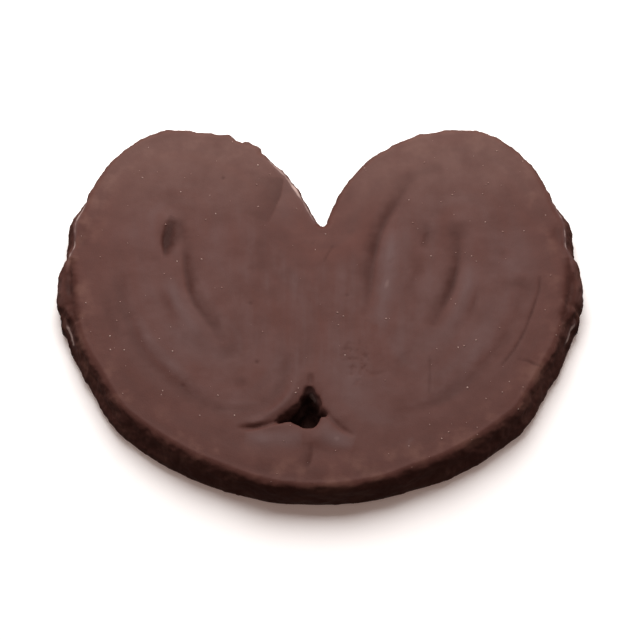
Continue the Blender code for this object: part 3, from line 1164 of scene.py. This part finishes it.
    def build(self, material: bpy.types.Material) -> bpy.types.Object:
        """The finished coat over the whole pastry.

        Args:
            material: What it is dressed in.

        Returns:
            The piece.
        """
        outline = self.blank.heart.smooth(self.rim_points)
        rim = self._guide("rim", [np.vstack((outline, outline[:1]))])
        spines = self._guide("spines", [np.array(spine) for spine in self.spines])
        body = shown(self.blank.mesh(), "blank")
        skin = body.modifiers.new("Skin", "REMESH")
        skin.mode = "VOXEL"
        skin.voxel_size = self.skin * MM
        soften = body.modifiers.new("Soften", "SMOOTH")
        soften.factor = 0.5
        soften.iterations = self.smoothing
        guides = Carver().carve(body, self.seams() + self.tones(), material)
        Coat().pour(body, rim, spines, material)
        coated = settled(body, "palmier_coat")
        for guide in [*guides, rim, spines]:
            bpy.data.objects.remove(guide)
        return self._thin_base(coated)

    def _guide(self, name: str, lines: list[np.ndarray]) -> bpy.types.Object:
        """Lines seen from above, as a guide at the top's height.

        Args:
            name: The guide's name.
            lines: Each line's points.

        Returns:
            The guide.
        """
        points, edges = [], []
        for line in lines:
            start = len(points)
            points += [(x, y, self.blank.thickness) for x, y in line]
            edges += [(i, i + 1) for i in range(start, len(points) - 1)]
        return wire(name, points, edges)

    def _thin_base(self, coated: bpy.types.Object) -> bpy.types.Object:
        """Join the flat base's many faces into a few; the rest stays as it is.

        Args:
            coated: The coated pastry, which is removed.

        Returns:
            The same pastry with its base thinned.
        """
        mesh = coated.data
        places = np.empty(len(mesh.vertices) * 3, np.float32)
        mesh.vertices.foreach_get("co", places)
        flat = np.flatnonzero(places[2::3] < self.base_height * MM)
        group = coated.vertex_groups.new(name="base")
        group.add(flat.tolist(), 1.0, "REPLACE")
        mesh.calc_loop_triangles()
        total = len(mesh.loop_triangles)
        base = len(flat) * 2
        thin = coated.modifiers.new("Thin", "DECIMATE")
        thin.vertex_group = "base"
        thin.ratio = (total - base * (1.0 - self.base_kept)) / total
        thinned = settled(coated, "palmier_coat")
        thinned.data.shade_smooth()
        return thinned


@dataclass(frozen=True)
class ChocolateFinish:
    """Dark chocolate, dull and bloomed, with painted sheen, shade and glints, streaked along the swirl;
    scales are in waves per millimetre.
    """

    deep: Colour = (0.064, 0.0245, 0.0198, 1.0)
    warm: Colour = (0.088, 0.0330, 0.0262, 1.0)
    # Grey bloom, which also stands for painted sheen.
    bloom_and_sheen: Colour = (0.096, 0.0530, 0.0500, 1.0)
    tan: Colour = (0.115, 0.0520, 0.0400, 1.0)
    # The back painted paler, for the stronger light and sheen on the far lobes.
    painted_far_light: Colour = (0.118, 0.0620, 0.0520, 1.0)
    # Painted shade in grooves, creases and under lumps, and darker chocolate, from the strokes' darker
    # tones.
    dark_and_shade: Colour = (0.030, 0.0085, 0.0060, 1.0)
    # The painted glint of the coat's bright edges.
    edge: Colour = (0.420, 0.3000, 0.2700, 1.0)
    # The near black painted shade deep in the pit.
    pit_shade: Colour = (0.026, 0.0100, 0.0080, 1.0)
    streak_scale: float = 0.22
    cloud_scale: float = 0.07
    blot_scale: float = 0.2
    grain_scale: float = 1.3
    drag_scale: float = 0.9
    fine_scale: float = 2.6
    # The distances from the rim between which the streaks turn from the rim to the rolls.
    turn_in: Point2 = (8.0, 17.0)
    # The pit's painted shade: its middle, its half sizes, and the heights that it darkens between.
    pit_shade_at: Point2 = (-2.8, -29.0)
    pit_shade_size: Point2 = (5.5, 6.5)
    pit_shade_heights: Point2 = (8.2, 5.6)
    roughness: float = 0.5
    specular: float = 0.06
    bump: float = 0.35
    bump_height: float = 0.02

    def material(self) -> bpy.types.Material:
        """The finish as a material.

        Returns:
            The material.
        """
        paint = Paint("dark_chocolate")
        place = paint.place()
        x, y, z = paint.xyz(place)
        rim_gap, spine_gap, tone = (
            paint.add("ShaderNodeAttribute", {"attribute_name": label}, None, "Fac")
            for label in ("rim_gap", "spine_gap", "tone")
        )
        # The patterns: streaks along the rim and the rolls, broad clouds, blots and fine grain.
        inside = paint.ramp(rim_gap, *self.turn_in)
        ring = paint.noise(paint.combine(rim_gap, x * 0.2, y * 0.2), self.streak_scale, 2.0, 0.5)
        inner = paint.noise(paint.combine(spine_gap, x * 0.25, y * 0.2), self.streak_scale, 2.0, 0.5)
        streaks = ring * (1.0 - inside) + inner * inside
        clouds = paint.noise(place, self.cloud_scale, 3.0, 0.65)
        blots = paint.noise(place, self.blot_scale, 2.0, 0.6)
        grain = paint.noise(place, self.grain_scale, 3.0, 0.6)
        warmth = paint.ramp(streaks * 0.35 + clouds * 0.45 + blots * 0.4 + grain * 0.15, -1.2, 1.2)
        colour = paint.blend(warmth, self.deep, self.warm)
        # The grey bloom and painted sheen, dragged from front to back in the middle, greyest inside the
        # rolls, less where a stroke paints shade, and more where it paints a highlight.
        middle = paint.ramp(x.abs(), 28.0, 12.0) * paint.ramp(y, -30.0, -10.0)
        drag = paint.noise(paint.combine(x * 0.5, y * 0.07, z * 0.1), self.drag_scale, 2.0, 0.5) * middle
        bloom_and_sheen = paint.ramp(clouds * 0.45 + blots * 0.35 - streaks * 0.3 + drag * 0.5, -0.7, 1.5)
        bloom_and_sheen = bloom_and_sheen * (0.1 + 0.6 * inside) * (1.0 + tone * 0.8).top(0.0).low(1.0)
        bloom_and_sheen = (bloom_and_sheen + tone.top(0.0) * 0.7).low(1.0)
        colour = paint.blend(bloom_and_sheen, colour, self.bloom_and_sheen)
        # Tan blotches near the rim, but not in the notch, and a back painted paler, for the stronger light
        # and sheen on the far lobes.
        tan = paint.ramp(blots * 0.9 + clouds * 0.4 + grain * 0.1, -0.1, 0.9)
        tan = tan * paint.ramp(rim_gap, 10.0, 5.0)
        notch = paint.ramp(y, 6.0, 16.0) * paint.ramp(x.abs(), 24.0, 12.0)
        colour = paint.blend(tan * (0.75 - notch * 0.65), colour, self.tan)
        colour = paint.blend(paint.ramp(y, 16.0, 42.0) * (0.55 + blots * 0.2), colour, self.painted_far_light)
        # The strokes' darker tones, painted shade and darker chocolate; the pit's painted shade; and the
        # painted glint of the bright edges.
        colour = paint.blend((-tone).top(0.0), colour, self.dark_and_shade)
        across, along = (
            (part - middle_at) / half
            for part, middle_at, half in zip((x, y), self.pit_shade_at, self.pit_shade_size)
        )
        # The pit painted near black as its shade.
        pit_shade = paint.ramp(z, *self.pit_shade_heights) * paint.ramp(across**2.0 + along**2.0, 1.7, 1.0)
        colour = paint.blend(pit_shade, colour, self.pit_shade)
        # Tones above 1 paint the glint of the bright edges.
        colour = paint.blend((tone - 1.0).top(0.0), colour, self.edge)
        rough = self.roughness + streaks * 0.03 + grain * 0.03 - bloom_and_sheen * 0.05 + pit_shade * 0.3
        bump = paint.add("ShaderNodeBump", None, {
            "Strength": self.bump, "Distance": self.bump_height * MM,
            "Height": paint.noise(place, self.fine_scale, 3.0, 0.6),
        })
        return paint.close(paint.add("ShaderNodeBsdfPrincipled", None, {
            "Base Color": colour, "Roughness": rough, "Normal": bump, "Specular IOR Level": self.specular,
        }))


@dataclass(frozen=True)
class CrumbFinish:
    """Pale dry crumbs caught on the chocolate."""

    pale: Colour = (0.46, 0.33, 0.285, 1.0)
    brown: Colour = (0.20, 0.10, 0.08, 1.0)
    scale: float = 0.35
    roughness: float = 0.6

    def material(self) -> bpy.types.Material:
        """The finish as a material.

        Returns:
            The material.
        """
        paint = Paint("crumb")
        shade = paint.ramp(paint.noise(paint.place(), self.scale, 2.0), -0.6, 1.3)
        colour = paint.blend(shade, self.brown, self.pale)
        return paint.close(paint.add("ShaderNodeBsdfPrincipled", None,
                                     {"Base Color": colour, "Roughness": self.roughness}))


@dataclass
class Crumbs:
    """Fine crumbs scattered over the top by Geometry Nodes."""

    per_square_cm: float = 3.2
    radius: float = 0.145
    sizes: Point2 = (0.45, 1.6)
    turn: float = 6.28
    clump_scale: float = 0.12
    # They lie only where the normal points up and above the pit's floor.
    upward: Point2 = (0.7, 0.9)
    above: Point2 = (6.0, 7.0)
    seed: int = 7

    def _tree(self) -> Shaper:
        """Build the tree.

        Returns:
            It, with its sizes still to be set.
        """
        tree = Shaper("Crumbs", {
            "Ground": (Input.OBJECT, None), "Density": (Input.NUMBER, 1.0), "Radius": (Input.NUMBER, 0.1),
            "Seed": (Input.COUNT, 0), "Material": (Input.MATERIAL, None),
        })
        upward = tree.ramp(tree.xyz(tree.normal())[2], *self.upward)
        place = tree.place()
        clump = tree.ramp(tree.noise(place, self.clump_scale, 2.0), -1.4, 1.2)
        share = upward * clump * tree.ramp(tree.xyz(place)[2], *self.above)
        seed = tree.size("Seed")
        spots = tree.add("GeometryNodeDistributePointsOnFaces", None, {
            "Mesh": tree.guide("Ground"), "Density": tree.size("Density") * share, "Seed": seed,
        })
        grain = tree.add("GeometryNodeMeshIcoSphere", None,
                         {"Radius": tree.size("Radius") * MM, "Subdivisions": 1})
        size = tree.add("FunctionNodeRandomValue", {"data_type": "FLOAT"},
                        {2: self.sizes[0], 3: self.sizes[1], "Seed": seed}, 1)
        turn = tree.add("FunctionNodeRandomValue", {"data_type": "FLOAT_VECTOR"},
                        {0: (0.0,) * 3, 1: (self.turn,) * 3, "Seed": seed}, 0)
        tree.close(tree.add("GeometryNodeInstanceOnPoints", None,
                            {"Points": spots, "Instance": grain, "Rotation": turn, "Scale": size}))
        return tree

    def build(self, pastry: bpy.types.Object, material: bpy.types.Material) -> bpy.types.Object:
        """All crumbs as one mesh.

        Args:
            pastry: The coated pastry that they lie on.
            material: What they are dressed in.

        Returns:
            The crumbs' object.
        """
        holder = shown(bpy.data.meshes.new("crumb_holder"), "crumb_holder")
        self._tree().attach(holder, {
            "Ground": pastry, "Density": self.per_square_cm * 1.0e4, "Radius": self.radius,
            "Seed": self.seed, "Material": material,
        })
        return settled(holder, "crumbs")


@dataclass
class Studio:
    """Camera, soft lights, floor and backdrop; angles are in degrees."""

    target: Point3 = (0.0, -2.85, 4.5)
    elevation: float = 60.0
    distance: float = 484.0
    lens: float = 120.0
    clip: Point2 = (0.01, 20.0)
    # The square panel behind the pastry: its strength, its distance and its side in metres.
    panel_power: float = 2.75
    panel_away: float = 0.38
    panel_side: float = 0.36
    panel_elevation: float = 56.0
    panel_azimuth: float = -4.0
    panel_colour: Point3 = (1.0, 0.985, 0.97)
    # The two low suns at the sides.
    sun_strength: float = 0.65
    sun_elevation: float = 14.0
    sun_azimuth: float = 62.0
    sun_spread: float = 30.0
    sun_colour: Point3 = (1.0, 0.98, 0.96)
    surround: Colour = (1.0, 0.80, 0.72, 1.0)
    surround_strength: float = 0.14
    floor_size: float = 6000.0
    floor_drop: float = 0.02
    floor_level: float = 0.92
    # The floor's own glow, near the pastry and far from it, and the distances in metres between.
    glow_near: Colour = (0.135, 0.090, 0.075, 1.0)
    glow_far: Colour = (0.84, 0.83, 0.83, 1.0)
    glow_reach: Point2 = (0.115, 0.24)

    def build(self) -> None:
        """Everything round the pastry."""
        scene = bpy.context.scene
        scene.view_settings.view_transform = "Standard"
        scene.view_settings.look = "None"
        self._camera()
        panel = self._lamp("softbox", Light.PANEL, self.panel_elevation, self.panel_azimuth,
                           self.panel_away, shape="SQUARE", size=self.panel_side,
                           energy=self.panel_power, color=self.panel_colour)
        panel.visible_camera = False
        for name, azimuth in (("left_wing", -self.sun_azimuth), ("right_wing", self.sun_azimuth)):
            self._lamp(name, Light.SUN, self.sun_elevation, azimuth, 0.0, energy=self.sun_strength,
                       angle=math.radians(self.sun_spread), color=self.sun_colour)
        self._world()
        self._floor()
        self._backdrop()

    def _camera(self) -> None:
        """The camera, a little over half way up, straight in front."""
        data = bpy.data.cameras.new("camera")
        data.lens = self.lens
        data.sensor_width = 36.0
        data.clip_start, data.clip_end = self.clip
        camera = shown(data, "camera")
        rise = math.radians(self.elevation)
        back = Vector((0.0, -math.cos(rise), math.sin(rise)))
        camera.location = (Vector(self.target) + back * self.distance) * MM
        camera.rotation_euler = (-back).to_track_quat("-Z", "Y").to_euler()
        bpy.context.scene.camera = camera

    @staticmethod
    def _lamp(name: str, kind: Light, elevation: float, azimuth: float, away: float,
              **settings: object) -> bpy.types.Object:
        """A lamp turned to the pastry's middle.

        Args:
            name: Its name.
            kind: What lamp it is.
            elevation: Degrees above the floor.
            azimuth: Degrees from +Y towards +X.
            away: Metres from the middle.
            settings: The lamp's own settings.

        Returns:
            The lamp.
        """
        data = bpy.data.lights.new(name, kind.value)
        for label, value in settings.items():
            setattr(data, label, value)
        lamp = shown(data, name)
        rise, turn = math.radians(elevation), math.radians(azimuth)
        towards = Vector((math.sin(turn) * math.cos(rise), math.cos(turn) * math.cos(rise), math.sin(rise)))
        lamp.location = towards * away
        lamp.rotation_euler = towards.to_track_quat("Z", "Y").to_euler()
        return lamp

    def _world(self) -> None:
        """A dim warm surround."""
        world = bpy.data.worlds.new("surround")
        world.use_nodes = True
        back = world.node_tree.nodes["Background"]
        back.inputs["Color"].default_value = self.surround
        back.inputs["Strength"].default_value = self.surround_strength
        bpy.context.scene.world = world

    def _floor(self) -> None:
        """A pale floor that reaches far behind the pastry."""
        half = self.floor_size * MM / 2.0
        mesh = bpy.data.meshes.new("floor")
        mesh.from_pydata([(-half, -half, 0.0), (half, -half, 0.0), (half, half, 0.0), (-half, half, 0.0)],
                         [], [(0, 1, 2, 3)])
        floor = shown(mesh, "floor")
        floor.location.z = -self.floor_drop * MM
        mesh.materials.append(self._floor_paint())
        floor.visible_diffuse = False
        floor.visible_glossy = False

    def _floor_paint(self) -> bpy.types.Material:
        """A matt pale paint with the faintest mottling, and a glow that grows away from the pastry.

        Returns:
            The material.
        """
        paint = Paint("floor_white")
        place = paint.position()
        level = self.floor_level
        shade = paint.ramp(paint.noise(place, 3.0, 1.0), -1.0, 1.0)
        colour = paint.blend(shade, (level, level, level, 1.0), (level * 0.99, level * 0.99, level, 1.0))
        away = paint.vector("LENGTH", place, output="Value")
        glow = paint.blend(paint.ramp(away, *self.glow_reach), self.glow_near, self.glow_far)
        return paint.close(paint.add("ShaderNodeAddShader", None, {
            0: paint.add("ShaderNodeBsdfDiffuse", None, {"Color": colour}),
            1: paint.add("ShaderNodeEmission", None, {"Color": glow}),
        }))

    def _backdrop(self) -> None:
        """A pale shell round the scene, seen by the camera only."""
        bpy.ops.mesh.primitive_uv_sphere_add(segments=48, ring_count=24, radius=self.floor_size * MM * 0.45)
        shell = bpy.context.object
        shell.name = "backdrop"
        paint = Paint("backdrop_pale")
        height = paint.xyz(paint.position())[2]
        colour = paint.blend(paint.ramp(height, 0.0, 2.0), (0.95, 0.95, 0.95, 1.0), (0.80, 0.80, 0.80, 1.0))
        shell.data.materials.append(paint.close(paint.add("ShaderNodeEmission", None, {"Color": colour})))
        for ray in ("diffuse", "glossy", "transmission", "volume_scatter", "shadow"):
            setattr(shell, f"visible_{ray}", False)


def main() -> None:
    """Build the pastry, its crumbs and the studio."""
    logging.basicConfig(level=logging.INFO, format="%(name)s: %(message)s")
    coat = Pastry().build(ChocolateFinish().material())
    crumbs = Crumbs().build(coat, CrumbFinish().material())
    for piece in (coat, crumbs):
        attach(piece, "root")
        LOG.info("%s: %d faces", piece.name, len(piece.data.polygons))
    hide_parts("palmier")
    Studio().build()


if __name__ == "__main__":
    main()
